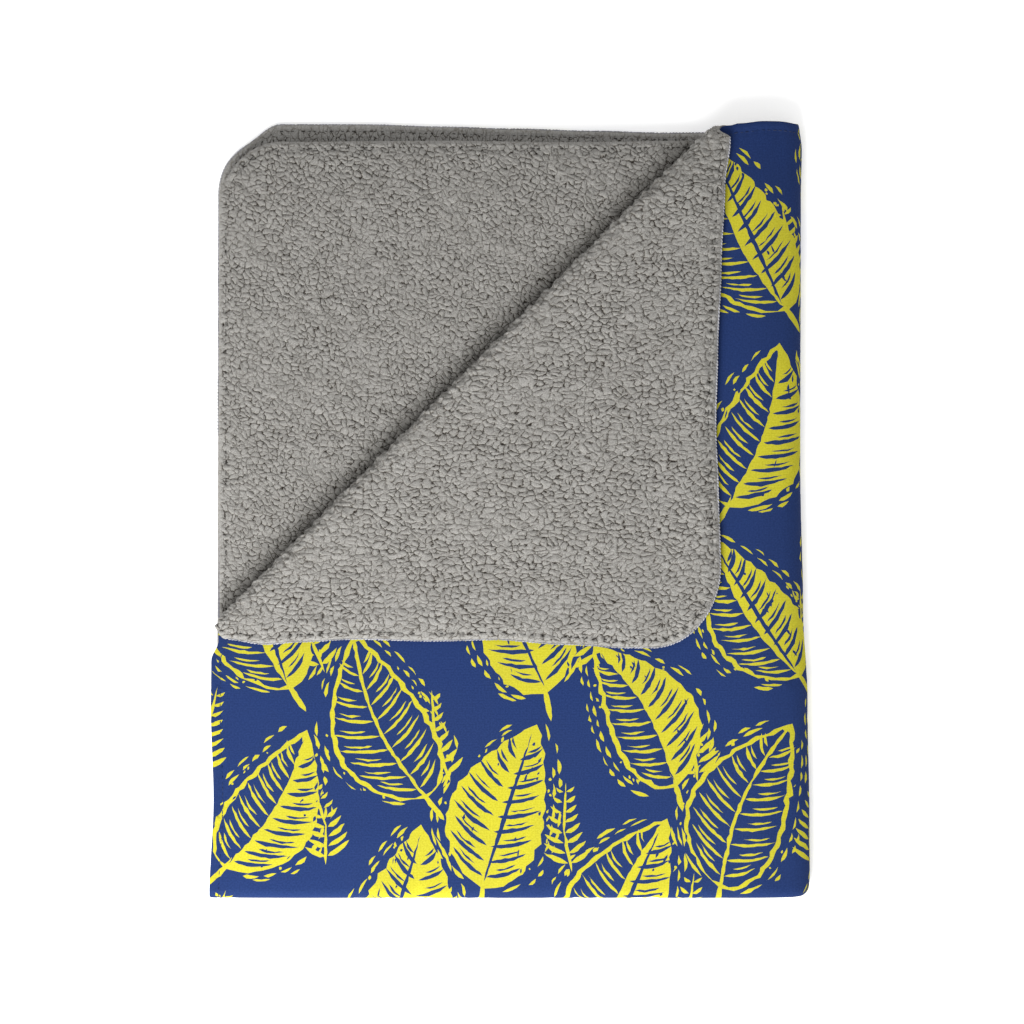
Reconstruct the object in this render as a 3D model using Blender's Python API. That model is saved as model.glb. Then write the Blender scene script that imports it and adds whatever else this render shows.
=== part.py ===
"""Sherpa fleece blanket, folded in quarters with one corner turned back.

Two sewn panels make the blanket: a thin printed plush face and a thick sherpa back. Each is laid out
flat as one slab with rounded corners and a pinched hem, and every point of it is then carried through
the folds. On the flat cloth, s runs across from the second fold, v runs up from the first fold, and w
stands out of the cloth's middle, towards the print where it is positive.

Metres, +Z up. The origin is on the resting surface, under the middle of the folded blanket.
"""

import math

import bmesh
import bpy
import numpy as np

# Both panels as they are cut
FLAT_WIDTH = 0.775
FLAT_HEIGHT = 0.991
HEM_CORNER_RADIUS = 0.0455

# Through the cloth
PRINT_THICKNESS = 0.0012
PILE_THICKNESS = 0.0045
PANEL_GAP = 0.0003
LAYER_GAP = 0.0010
PRINT_OUT = PANEL_GAP / 2 + PRINT_THICKNESS
PILE_OUT = PANEL_GAP / 2 + PILE_THICKNESS

# First fold, at the bottom edge, with the print outside and the front half a little longer
FRONT_EXTRA = 0.005
FRONT_LENGTH = FLAT_HEIGHT / 2 + FRONT_EXTRA
BACK_LENGTH = FLAT_HEIGHT / 2 - FRONT_EXTRA
BEND_1 = PILE_OUT + LAYER_GAP / 2
REACH_1 = BEND_1 * math.pi / 2

# Second fold, at the right edge, of the doubled cloth
BEND_2 = BEND_1 + PRINT_OUT + LAYER_GAP / 2
BEND_2_CUT = BEND_2 + BEND_1
REACH_2 = BEND_2_CUT * math.pi / 2
MIDDLE_HEIGHT = BEND_2 + BEND_1 + PRINT_OUT

# The top layer's corner, turned back on a 45 degree line with the print inside
TURN_BACK = 0.334
TURN_INNER_RADIUS = 0.0010
TURN_BEND = PRINT_OUT + TURN_INNER_RADIUS
TURN_LINE = FRONT_LENGTH + FLAT_WIDTH / 2 - TURN_BACK
TURN_LENGTH = math.pi * TURN_BEND
FLAP_SETTLE = 0.0012
FLAP_SETTLE_REACH = 0.030

# The hem's section, from its edge inwards: how far each panel stands out of the cloth's middle
#   inset, print, pile
HEM_PROFILE = (
    (0.0000, 0.00070, 0.00150),
    (0.0025, 0.00125, 0.00360),
    (0.0060, 0.00110, 0.00215),
    (0.0120, PRINT_OUT, PILE_OUT),
)

# How far each hem lies outside the cut size, as the cloth was pulled and laid
#   along the hem, outwards
LEFT_HEM = (
    (-0.480, -0.0055),
    (-0.120, -0.0055),
    (-0.055, -0.0030),
    (0.000, 0.0006),
    (0.065, -0.0023),
    (0.125, -0.0006),
    (0.155, 0.0000),
    (0.168, -0.0042),
    (0.174, -0.0036),
    (0.180, 0.0030),
    (0.208, 0.0058),
    (0.230, 0.0042),
    (0.265, 0.0025),
    (0.315, 0.0036),
    (0.355, 0.0028),
    (0.400, 0.0058),
    (0.440, 0.0080),
)
RIGHT_HEM = (
    (-0.480, -0.0065),
    (-0.060, -0.0045),
    (0.000, -0.0010),
    (0.060, -0.0035),
    (0.480, -0.0045),
)
FRONT_HEM = (
    (-0.330, -0.0008),
    (-0.295, -0.0012),
    (-0.250, -0.0027),
    (-0.205, -0.0016),
    (-0.150, 0.0005),
    (-0.098, 0.0028),
    (-0.067, 0.0052),
    (-0.062, -0.0030),
    (-0.053, -0.0026),
    (-0.047, 0.0004),
    (-0.030, 0.0016),
    (0.000, 0.0021),
    (0.065, -0.0050),
    (0.095, -0.0052),
    (0.140, -0.0040),
    (0.190, -0.0026),
    (0.240, -0.0012),
    (0.290, 0.0005),
    (0.340, 0.0005),
)
BACK_HEM = (
    (-0.340, -0.0004),
    (-0.240, 0.0003),
    (-0.160, -0.0006),
    (-0.060, 0.0004),
    (0.000, 0.0000),
    (0.100, -0.0030),
    (0.340, -0.0030),
)

# How far the right fold leans out along its height
#   y, outwards
FOLD_SWAY = (
    (-0.250, 0.0058),
    (-0.200, 0.0054),
    (-0.120, 0.0041),
    (-0.065, 0.0013),
    (0.030, -0.0006),
    (0.200, -0.0002),
    (0.240, 0.0006),
)
SWAY_FROM = -0.050
SWAY_TO = 0.185

# How much thicker or thinner the pile of layers is, as a share, round a few places
#   x, y, reach in x, reach in y, share
LOFT = (
    (0.150, 0.120, 0.060, 0.130, 0.020),
    (0.130, -0.190, 0.090, 0.060, -0.030),
    (-0.060, -0.170, 0.110, 0.050, 0.030),
    (-0.130, 0.130, 0.090, 0.090, -0.025),
    (0.020, 0.020, 0.120, 0.120, 0.035),
)
# The layers also press together along the hems and folds
#   side, direction outwards, where the edge is, how far in it is felt, share
EDGE_PRESS = (
    ("left", (-1, 0), 0.190, 0.050, -0.100),
    ("right", (1, 0), 0.190, 0.045, -0.120),
    ("bottom", (0, -1), 0.248, 0.040, -0.080),
    ("top", (0, 1), 0.245, 0.050, -0.140),
)

# The right fold's two ends are drawn in to soft corners
#   x, y, how far, reach
SOFT_CORNERS = (
    (0.194, -0.249, 0.0030, 0.011),
    (0.188, 0.250, 0.0026, 0.009),
)

# The lines that the flat mesh is cut along
ARC_STEPS = 8
TURN_STEPS = 6
CORNER_STEPS = 6
CELLS_ACROSS = 7
CELLS_UP = 10
SETTLE_LINES = 2
ON_LINE = 1e-6
MERGE = 5e-5

# Where the middles of the two folds' bends lie, before the whole is centred
PLACE_X = 0.1748
PLACE_Y = -0.2434


def clear_scene():
    for old in list(bpy.data.objects):
        bpy.data.objects.remove(old, do_unlink=True)


def ease(share):
    """0 to 1 with a soft start and end."""
    share = min(max(share, 0.0), 1.0)
    return share * share * (3 - 2 * share)


def along(table, place):
    """The table's second column at a place along its first, with soft bends between rows."""
    places = [row[0] for row in table]
    after = int(np.searchsorted(places, place))
    if after == 0:
        return table[0][1]
    if after == len(table):
        return table[-1][1]
    start, end = table[after - 1], table[after]
    return start[1] + (end[1] - start[1]) * ease((place - start[0]) / (end[0] - start[0]))


def lines_across():
    """Values of s where the mesh has an edge: through the second fold and then evenly."""
    arc = [REACH_2 * step / (ARC_STEPS / 2) for step in range(ARC_STEPS // 2 + 1)]
    span = FLAT_WIDTH / 2 - HEM_CORNER_RADIUS - REACH_2
    straight = [REACH_2 + span * cell / CELLS_ACROSS for cell in range(1, CELLS_ACROSS + 1)]
    half = arc + straight
    return sorted({-value for value in half} | set(half))


def lines_up():
    """Values of v where the mesh has an edge: through the first fold and then evenly."""
    arc = [REACH_1 * step / (ARC_STEPS / 2) for step in range(ARC_STEPS // 2 + 1)]
    span = BACK_LENGTH - HEM_CORNER_RADIUS - REACH_1
    straight = [REACH_1 + span * cell / CELLS_UP for cell in range(1, CELLS_UP + 1)]
    half = arc + straight
    return sorted({-value for value in half} | set(half))


def turn_lines():
    """Distances past the turn line where the mesh has an edge."""
    bend = [TURN_LENGTH * step / TURN_STEPS for step in range(TURN_STEPS + 1)]
    settle = [
        TURN_LENGTH + FLAP_SETTLE_REACH * step / SETTLE_LINES
        for step in range(1, SETTLE_LINES + 1)
    ]
    return bend + settle


def hem_stops(lines, table, low, high):
    """Places along a straight hem that get a point: where the mesh's lines cross it and it bends."""
    places = set(lines) | {row[0] for row in table}
    return sorted(place for place in places if low + ON_LINE < place < high - ON_LINE)


def hem_corner(centre, quarter, inset, out_s, out_v):
    """The points of one rounded corner, from the given quarter turn on, moved out with its hems."""
    radius = HEM_CORNER_RADIUS - inset
    points = []
    for step in range(CORNER_STEPS + 1):
        angle = math.pi / 2 * (quarter + step / CORNER_STEPS)
        s = centre[0] + radius * math.cos(angle) + out_s * abs(math.cos(angle))
        v = centre[1] + radius * math.sin(angle) + out_v * abs(math.sin(angle))
        points.append((s, v))
    return points


def hem_ring(inset):
    """The blanket's outline at an inset, counter-clockwise."""
    half = FLAT_WIDTH / 2
    side = half - HEM_CORNER_RADIUS
    low = HEM_CORNER_RADIUS - BACK_LENGTH
    high = FRONT_LENGTH - HEM_CORNER_RADIUS
    right = [(half - inset + along(RIGHT_HEM, v), v) for v in hem_stops(lines_up(), RIGHT_HEM, low, high)]
    left = [(inset - half - along(LEFT_HEM, v), v) for v in hem_stops(lines_up(), LEFT_HEM, low, high)]
    front_stops = hem_stops(lines_across(), FRONT_HEM, -side, side)
    front = [(s, FRONT_LENGTH - inset + along(FRONT_HEM, s)) for s in front_stops]
    back_stops = hem_stops(lines_across(), BACK_HEM, -side, side)
    back = [(s, inset - BACK_LENGTH - along(BACK_HEM, s)) for s in back_stops]
    return (
        right
        + hem_corner((side, high), 0, inset, along(RIGHT_HEM, high), along(FRONT_HEM, side))
        + front[::-1]
        + hem_corner((-side, high), 1, inset, -along(LEFT_HEM, high), along(FRONT_HEM, -side))
        + left[::-1]
        + hem_corner((-side, low), 2, inset, -along(LEFT_HEM, low), -along(BACK_HEM, -side))
        + back
        + hem_corner((side, low), 3, inset, along(RIGHT_HEM, low), -along(BACK_HEM, side))
    )


def cut(mesh, faces, point, normal):
    """Cuts the given faces of the flat mesh along the upright plane through point."""
    edges = {edge for face in faces for edge in face.edges}
    corners = {vertex for face in faces for vertex in face.verts}
    bmesh.ops.bisect_plane(
        mesh,
        geom=list(faces) + list(edges) + list(corners),
        dist=ON_LINE,
        plane_co=point,
        plane_no=normal,
    )


def flat_mesh():
    """The cloth laid flat, triangulated, with each point's inset from the hem as its height."""
    mesh = bmesh.new()
    rings = []
    for inset, _, _ in HEM_PROFILE:
        rings.append([mesh.verts.new((s, v, inset)) for s, v in hem_ring(inset)])
    for outer, inner in zip(rings, rings[1:]):
        for here in range(len(outer)):
            there = (here + 1) % len(outer)
            mesh.faces.new((outer[here], outer[there], inner[there], inner[here]))
    mesh.faces.new(rings[-1])
    for s in lines_across():
        cut(mesh, mesh.faces[:], (s, 0, 0), (1, 0, 0))
    for v in lines_up():
        cut(mesh, mesh.faces[:], (0, v, 0), (0, 1, 0))
    for past in turn_lines():
        place = TURN_LINE + past * math.sqrt(2)
        faces = [
            face
            for face in mesh.faces
            if face.calc_center_median().x < -REACH_2 and face.calc_center_median().y > REACH_1
        ]
        cut(mesh, faces, (-place / 2, place / 2, 0), (-1, 1, 0))
    bmesh.ops.remove_doubles(mesh, verts=mesh.verts[:], dist=MERGE)
    bmesh.ops.triangulate(mesh, faces=mesh.faces[:])
    return mesh


def turn_corner(s, v, w):
    """Carries a point of the front quarter over the turned-back corner's bend."""
    past = (v - s - TURN_LINE) / math.sqrt(2)
    if past <= 0:
        return s, v, w
    angle = min(past / TURN_BEND, math.pi)
    beyond = max(past - TURN_LENGTH, 0.0)
    moved = (TURN_BEND - w) * math.sin(angle) - beyond
    lifted = TURN_BEND - (TURN_BEND - w) * math.cos(angle)
    lifted -= FLAP_SETTLE * ease(beyond / FLAP_SETTLE_REACH)
    slide = (past - moved) / math.sqrt(2)
    return s + slide, v - slide, lifted


def fold(s, v, w):
    """Carries a point of the flat cloth through the turned corner and both folds."""
    if s < 0 < v:
        s, v, w = turn_corner(s, v, w)
    angle = min(max(v / BEND_1, -math.pi / 2), math.pi / 2)
    y = max(abs(v) - REACH_1, 0.0) - (BEND_1 + w) * math.cos(angle)
    out = (BEND_1 + w) * math.sin(angle)
    angle = min(max(s / BEND_2_CUT, -math.pi / 2), math.pi / 2)
    x = (BEND_2 + out) * math.cos(angle) - max(abs(s) - REACH_2, 0.0)
    z = MIDDLE_HEIGHT - (BEND_2 + out) * math.sin(angle)
    return x + PLACE_X, y + PLACE_Y, z


def lay(x, y, z):
    """Makes the neat folds uneven: the right fold sways, two corners are soft, the loft varies."""
    x += along(FOLD_SWAY, y) * ease((x - SWAY_FROM) / (SWAY_TO - SWAY_FROM))
    for corner_x, corner_y, drawn, reach in SOFT_CORNERS:
        near = math.exp(-((x - corner_x) ** 2 + (y - corner_y) ** 2) / reach**2)
        x -= math.copysign(drawn * near, corner_x)
        y -= math.copysign(drawn * near, corner_y)
    share = 1.0
    for centre_x, centre_y, reach_x, reach_y, extra in LOFT:
        share += extra * math.exp(-(((x - centre_x) / reach_x) ** 2) - ((y - centre_y) / reach_y) ** 2)
    for _, (out_x, out_y), edge, reach, extra in EDGE_PRESS:
        inside = edge - (x * out_x + y * out_y)
        share += extra * (1 - ease(inside / reach))
    return x, y, z * share


def hem_section(inset):
    """How far the print and the pile stand out of the cloth's middle at an inset from the hem."""
    insets = [row[0] for row in HEM_PROFILE]
    print_out = float(np.interp(inset, insets, [row[1] for row in HEM_PROFILE]))
    pile_out = float(np.interp(inset, insets, [row[2] for row in HEM_PROFILE]))
    return print_out, pile_out


def panel(name, flat, upper, lower, material):
    """A closed slab between two heights over the flat mesh, folded and laid."""
    mesh = bmesh.new()
    flat.verts.index_update()
    above = [mesh.verts.new(lay(*fold(p.co.x, p.co.y, upper(p.co.z)))) for p in flat.verts]
    below = [mesh.verts.new(lay(*fold(p.co.x, p.co.y, lower(p.co.z)))) for p in flat.verts]
    for face in flat.faces:
        corners = [vertex.index for vertex in face.verts]
        mesh.faces.new([above[index] for index in corners])
        mesh.faces.new([below[index] for index in reversed(corners)])
    for edge in flat.edges:
        if len(edge.link_faces) != 1:
            continue
        loop = edge.link_loops[0]
        start, end = loop.vert.index, loop.link_loop_next.vert.index
        mesh.faces.new((above[end], above[start], below[start]))
        mesh.faces.new((above[end], below[start], below[end]))
    bmesh.ops.recalc_face_normals(mesh, faces=mesh.faces[:])
    data = bpy.data.meshes.new(name)
    mesh.to_mesh(data)
    mesh.free()
    data.materials.append(material)
    data.shade_smooth()
    obj = bpy.data.objects.new(name, data)
    bpy.context.scene.collection.objects.link(obj)
    return obj


def centre_on_origin(pieces):
    """Moves the pieces' points so that the origin is under the middle of the whole."""
    points = [vertex.co for piece in pieces for vertex in piece.data.vertices]
    low = np.min(points, axis=0)
    high = np.max(points, axis=0)
    shift_x = (low[0] + high[0]) / 2
    shift_y = (low[1] + high[1]) / 2
    for piece in pieces:
        for vertex in piece.data.vertices:
            vertex.co.x -= shift_x
            vertex.co.y -= shift_y
            vertex.co.z -= low[2]


def cloth_material(name, colour, roughness):
    material = bpy.data.materials.new(name)
    material.use_nodes = True
    shader = material.node_tree.nodes["Principled BSDF"]
    shader.inputs["Base Color"].default_value = (*colour, 1)
    shader.inputs["Roughness"].default_value = roughness
    shader.inputs["Metallic"].default_value = 0.0
    return material


def build():
    clear_scene()
    flat = flat_mesh()
    plush = cloth_material("printed_plush", (0.036, 0.060, 0.205), 0.85)
    sherpa = cloth_material("sherpa_pile", (0.36, 0.35, 0.33), 0.95)
    printed_face = panel(
        "printed_face",
        flat,
        lambda inset: hem_section(inset)[0],
        lambda inset: PANEL_GAP / 2,
        plush,
    )
    sherpa_back = panel(
        "sherpa_back",
        flat,
        lambda inset: -PANEL_GAP / 2,
        lambda inset: -hem_section(inset)[1],
        sherpa,
    )
    flat.free()
    centre_on_origin([printed_face, sherpa_back])


build()
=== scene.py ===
"""Looks of the folded sherpa fleece blanket: printed plush, curly pile, sewing and a studio.

Both panels are laid out flat, meshed there and carried through the same folds as the solids. On the flat
cloth, s runs across from the second fold, v runs up from the first fold, and w stands out of the cloth's
middle, towards the print where it is positive. Metres, +Z up.
"""

import math

import bpy
import numpy as np
from mathutils.geometry import delaunay_2d_cdt
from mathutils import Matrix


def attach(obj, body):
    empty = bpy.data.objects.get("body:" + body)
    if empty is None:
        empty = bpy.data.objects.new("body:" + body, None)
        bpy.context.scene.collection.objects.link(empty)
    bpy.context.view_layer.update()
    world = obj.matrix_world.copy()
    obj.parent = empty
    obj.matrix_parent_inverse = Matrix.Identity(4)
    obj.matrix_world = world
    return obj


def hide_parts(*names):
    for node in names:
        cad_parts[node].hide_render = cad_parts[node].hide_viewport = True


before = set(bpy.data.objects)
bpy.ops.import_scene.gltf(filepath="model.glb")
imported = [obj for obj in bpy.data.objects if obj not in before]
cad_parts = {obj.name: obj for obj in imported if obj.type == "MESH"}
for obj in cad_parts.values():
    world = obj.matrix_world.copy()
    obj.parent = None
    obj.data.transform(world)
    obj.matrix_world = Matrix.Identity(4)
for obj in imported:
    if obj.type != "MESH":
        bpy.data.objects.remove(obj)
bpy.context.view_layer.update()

# The cloth as it is cut, sewn and folded, the same values as the solids have
FLAT_WIDTH = 0.775
FLAT_HEIGHT = 0.991
HEM_CORNER_RADIUS = 0.0455
PRINT_THICKNESS = 0.0012
PILE_THICKNESS = 0.0045
PANEL_GAP = 0.0003
LAYER_GAP = 0.0010
PRINT_OUT = PANEL_GAP / 2 + PRINT_THICKNESS
PILE_OUT = PANEL_GAP / 2 + PILE_THICKNESS

FRONT_EXTRA = 0.005
FRONT_LENGTH = FLAT_HEIGHT / 2 + FRONT_EXTRA
BACK_LENGTH = FLAT_HEIGHT / 2 - FRONT_EXTRA
BEND_1 = PILE_OUT + LAYER_GAP / 2
REACH_1 = BEND_1 * math.pi / 2

BEND_2 = BEND_1 + PRINT_OUT + LAYER_GAP / 2
BEND_2_CUT = BEND_2 + BEND_1
REACH_2 = BEND_2_CUT * math.pi / 2
MIDDLE_HEIGHT = BEND_2 + BEND_1 + PRINT_OUT

TURN_BACK = 0.334
TURN_INNER_RADIUS = 0.0010
TURN_BEND = PRINT_OUT + TURN_INNER_RADIUS
TURN_LINE = FRONT_LENGTH + FLAT_WIDTH / 2 - TURN_BACK
TURN_LENGTH = math.pi * TURN_BEND
FLAP_SETTLE = 0.0012
FLAP_SETTLE_REACH = 0.030

# Only here: how far the lowest layer's corner is drawn in, and how late along its arc
CORNER_DRAWN = 0.0045
CORNER_LATE = 1.6

# Where the folds' bends have their middle, as on the solids
PLACE_X = 0.1748
PLACE_Y = -0.2434

# How far each hem lies outside the cut size, a little closer to the photograph than on the solids
#   along the hem, outwards
LEFT_HEM = (
    (-0.480, -0.0055), (-0.120, -0.0055), (-0.055, -0.0030), (0.000, 0.0006),
    (0.065, -0.0023), (0.125, -0.0006), (0.155, -0.0008), (0.168, -0.0056),
    (0.174, -0.0052), (0.181, 0.0024), (0.208, 0.0058), (0.230, 0.0042),
    (0.265, 0.0025), (0.315, 0.0036), (0.355, 0.0028), (0.400, 0.0058),
    (0.440, 0.0080),
)
RIGHT_HEM = (
    (-0.480, -0.0065), (-0.060, -0.0045), (0.000, -0.0010), (0.060, -0.0035),
    (0.480, -0.0045),
)
FRONT_HEM = (
    (-0.330, -0.0008), (-0.295, -0.0012), (-0.250, -0.0027), (-0.205, -0.0016),
    (-0.150, 0.0005), (-0.098, 0.0028), (-0.067, 0.0058), (-0.062, -0.0008),
    (-0.053, -0.0004), (-0.047, 0.0010), (-0.030, 0.0026), (0.000, 0.0030),
    (0.065, -0.0038), (0.095, -0.0040), (0.140, -0.0028), (0.190, -0.0014),
    (0.240, 0.0000), (0.290, 0.0015), (0.340, 0.0015),
)
BACK_HEM = (
    (-0.340, -0.0004), (-0.240, 0.0003), (-0.160, -0.0006), (-0.060, 0.0004),
    (0.000, 0.0000), (0.100, -0.0030), (0.340, -0.0030),
)

# How far the right fold leans out along its height
#   y, outwards
FOLD_SWAY = (
    (-0.250, 0.0058), (-0.200, 0.0054), (-0.120, 0.0041), (-0.065, 0.0013),
    (0.030, -0.0006), (0.200, -0.0002), (0.240, 0.0006),
)
SWAY_FROM = -0.050
SWAY_TO = 0.185

# How much thicker or thinner the pile of layers is, as a share, round a few places
#   x, y, reach in x, reach in y, share
LOFT = (
    (0.150, 0.120, 0.060, 0.130, 0.020),
    (0.130, -0.190, 0.090, 0.060, -0.030),
    (-0.060, -0.170, 0.110, 0.050, 0.030),
    (-0.130, 0.130, 0.090, 0.090, -0.025),
    (0.020, 0.020, 0.120, 0.120, 0.035),
)
#   side, direction outwards, where the edge is, how far in it is felt, share
EDGE_PRESS = (
    ("left", (-1, 0), 0.190, 0.050, -0.100),
    ("right", (1, 0), 0.190, 0.045, -0.120),
    ("right, dressed", (1, 0), 0.193, 0.034, -0.150),
    ("bottom", (0, -1), 0.248, 0.040, -0.080),
    ("top", (0, 1), 0.245, 0.050, -0.140),
)
#   x, y, how far the corner is drawn in, reach
SOFT_CORNERS = (
    (0.194, -0.249, 0.0008, 0.010),
    (0.188, 0.250, 0.0018, 0.009),
)

# Soft troughs and ridges that only the dressed cloth has
#   x, y, turn in degrees, reach along, reach across, share
TROUGHS = (
    (0.0940, 0.018, 84, 0.040, 0.0110, -0.050),
    (0.0760, 0.012, 90, 0.030, 0.0050, 0.014),
    (0.0990, -0.038, 12, 0.013, 0.0040, -0.028),
    (0.1748, 0.215, 92, 0.045, 0.0028, -0.018),
    (0.1690, 0.205, 90, 0.050, 0.0040, 0.010),
    (-0.0500, 0.055, -12, 0.045, 0.0120, -0.020),
    (0.0300, -0.060, 20, 0.050, 0.0140, -0.018),
    (-0.0900, 0.170, 35, 0.060, 0.0130, -0.030),
    (0.0050, 0.200, 50, 0.050, 0.0110, -0.026),
    (-0.1500, 0.060, 70, 0.050, 0.0120, -0.026),
    (-0.1000, -0.195, 8, 0.070, 0.0100, -0.014),
    (0.0700, -0.215, -6, 0.080, 0.0110, -0.014),
    (0.1500, -0.090, 80, 0.060, 0.0090, -0.012),
)

# Across each hem, from its edge inwards: how far the panel stands out of the cloth's middle
#   inset, outwards
PRINT_SECTION = (
    (0.0000, 0.00050), (0.0005, 0.00090), (0.0014, 0.00118), (0.0030, 0.00128),
    (0.0048, 0.00118), (0.0060, 0.00085), (0.0072, 0.00118), (0.0095, 0.00130),
    (0.0120, PRINT_OUT),
)
PILE_SECTION = (
    (0.0000, 0.00090), (0.0006, 0.00160), (0.0014, 0.00250), (0.0024, 0.00310),
    (0.0034, 0.00325), (0.0044, 0.00295), (0.0056, 0.00350), (0.0080, 0.00425),
    (0.0110, PILE_OUT),
)
SEAM_INSET = 0.0060
PILE_SEAM_INSET = 0.0044
PUCKER_PITCH = 0.0065
PUCKER_DEPTH = 0.00045
PUCKER_REACH = 0.0024
UNEVEN_PITCH = 0.047
UNEVEN_START = 1.3
PILE_PUCKER = 2.4
BARED_PUCKER = 0.8

# Meshing: steps along hems and between points, rows through the folds, and the margins between them
HEM_STEP = 0.0020
HEM_FINE_STEP = 0.0003
LATTICE = 0.0042
PRINT_LATTICE = LATTICE * 2.2
DENSE_STEP = 0.00091
COARSE_STEP = 0.0120
HEM_ROWS = (0.0006, 0.0014, 0.0028, 0.0044, 0.0060, 0.0076, 0.0100)
HEM_CLEAR = 0.001
TURN_ROWS = 12
TURN_RUN = 0.30
TURN_MARGIN = 0.0006
FOLD_1_ROWS = 12
FOLD_2_ROWS = 20
SPARE = 0.0004

# Where the sherpa panel is cut into pieces, past the turned corner's line and its like behind
FLAP_CUT = -0.006
INSIDE_CUT = 0.001
CUT_MARGIN = 0.0008

# The bend of the flap's inner face, in lengths over the pile's outer face
LONGER = (TURN_BEND + PILE_OUT) / TURN_BEND
BEND_END = TURN_LENGTH * LONGER
BEND_RUN = 0.25
BEND_STEP = 0.004
BEND_CLEAR = 0.002
BEND_INSET = 0.003

# Curls of the pile: their size, how the bared layer's differ, and how deep they are
CURL_WIDE = 0.0053
CURL_HIGH = 0.0034
BARED_CURL_WIDE = CURL_WIDE * 0.80
BARED_CURL_HIGH = CURL_HIGH * 0.92
BARED_CURL_TURN = -28
BARED_CURL_START = 40
ROLL_PLACE = 0.8
ROLL_LUMPS = 0.0060
ROLL_REACH = 0.016
# how far the painted shade beside the bared layer's crease reaches, and how strong it is; the strength also
# sets the lumps there
CREASE_SHADE_REACH = 0.011
CREASE_SHADE_SHARE = 0.6
CRACK_DEPTH = 0.00100
PLATE_RISE = 0.00030
BILLOW = 0.0018
#   scale and reach of each noise that bends the curls' outlines
CURL_BENDS = ((0.30, 1.7), (1.9, 0.46), (5.0, 0.10))
FINE_CURLS = 1.75
#   the inset at which they start, and the lengths over which they grow from the hem and from a cut
CURLS_FROM = 0.0003
CURLS_GROW = 0.0020
CUT_GROW = 0.004
# how far in from the hem the cracks close and the pile is painted lighter, as painted light
RIM_WIDTH = 0.012
#     the lower layers, whose hems alone show: a wider band of painted light and closing cracks, and
#         shallower curls that fade out inside the hem
LOWER_RIM_WIDTH = 0.030
LOWER_CURLS = 0.45
LOWER_FROM = 0.0010
LOWER_GROW = 0.004
LOWER_TO = 0.020
LOWER_FADE = 0.01


def ease(share):
    """0 to 1 with a soft start and end."""
    share = np.clip(share, 0.0, 1.0)
    return share * share * (3 - 2 * share)


def bell(distance, reach):
    return np.exp(-((distance / reach) ** 2))


def along(table, place):
    """The table's second column at places along its first, with soft bends between rows."""
    rows = np.array(table)
    place = np.asarray(place, dtype=float)
    after = np.clip(np.searchsorted(rows[:, 0], place), 1, len(rows) - 1)
    start, end = rows[after - 1], rows[after]
    part = ease((place - start[..., 0]) / (end[..., 0] - start[..., 0]))
    return start[..., 1] + (end[..., 1] - start[..., 1]) * part


def past_turn(s, v):
    """How far a flat point lies past the turned corner's line."""
    return (v - s - TURN_LINE) / math.sqrt(2)


def turn_corner(s, v, w):
    past = past_turn(s, v)
    turned = (s < 0) & (v > 0) & (past > 0)
    angle = np.clip(past / TURN_BEND, 0, math.pi)
    beyond = np.maximum(past - TURN_LENGTH, 0.0)
    moved = (TURN_BEND - w) * np.sin(angle) - beyond
    lifted = TURN_BEND - (TURN_BEND - w) * np.cos(angle)
    lifted = lifted - FLAP_SETTLE * ease(beyond / FLAP_SETTLE_REACH)
    slide = (past - moved) / math.sqrt(2)
    return np.where(turned, s + slide, s), np.where(turned, v - slide, v), np.where(turned, lifted, w)


def fold(s, v, w):
    """Carries flat points through the turned corner and both folds."""
    s, v, w = turn_corner(s, v, w)
    angle = np.clip(v / BEND_1, -math.pi / 2, math.pi / 2)
    y = np.maximum(np.abs(v) - REACH_1, 0.0) - (BEND_1 + w) * np.cos(angle)
    out = (BEND_1 + w) * np.sin(angle)
    angle = np.clip(s / BEND_2_CUT, -math.pi / 2, math.pi / 2)
    x = (BEND_2 + out) * np.cos(angle) - np.maximum(np.abs(s) - REACH_2, 0.0)
    z = MIDDLE_HEIGHT - (BEND_2 + out) * np.sin(angle)
    return x + PLACE_X, y + PLACE_Y, z


def lay(x, y, z):
    """Makes the neat folds uneven: sway, soft corners, loft and troughs."""
    x = x + along(FOLD_SWAY, y) * ease((x - SWAY_FROM) / (SWAY_TO - SWAY_FROM))
    for corner_x, corner_y, drawn, reach in SOFT_CORNERS:
        near = np.exp(-((x - corner_x) ** 2 + (y - corner_y) ** 2) / reach**2)
        x = x - math.copysign(drawn, corner_x) * near
        y = y - math.copysign(drawn, corner_y) * near
    share = np.ones_like(x)
    for centre_x, centre_y, reach_x, reach_y, extra in LOFT:
        share += extra * np.exp(-(((x - centre_x) / reach_x) ** 2) - ((y - centre_y) / reach_y) ** 2)
    for _, (out_x, out_y), edge, reach, extra in EDGE_PRESS:
        share += extra * (1 - ease((edge - (x * out_x + y * out_y)) / reach))
    for centre_x, centre_y, turn, reach_along, reach_across, extra in TROUGHS:
        cos, sin = math.cos(math.radians(turn)), math.sin(math.radians(turn))
        lengthwise = (x - centre_x) * cos + (y - centre_y) * sin
        sideways = (y - centre_y) * cos - (x - centre_x) * sin
        share += extra * np.exp(-((lengthwise / reach_along) ** 2) - (sideways / reach_across) ** 2)
    return np.stack([x, y, z * share], axis=-1)


def on_cloth(flat, w):
    """Flat points, carried to where they lie on the folded blanket."""
    return lay(*fold(flat[:, 0], flat[:, 1], w))


def straight_ends():
    """Where the straight hems end: the largest |s|, the lowest and the highest v."""
    side = FLAT_WIDTH / 2 - HEM_CORNER_RADIUS
    return side, HEM_CORNER_RADIUS - BACK_LENGTH, FRONT_LENGTH - HEM_CORNER_RADIUS


def drawn_in(s, v, angle):
    """How far the lowest layer's corner is drawn in, most a little past its middle."""
    lowest = (np.asarray(s) > 0) & (np.asarray(v) > 0)
    share = np.clip(np.asarray(angle) / (math.pi / 2), 0, 1) ** CORNER_LATE
    return np.where(lowest, CORNER_DRAWN, 0.0) * np.sin(math.pi * share) ** 2


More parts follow.
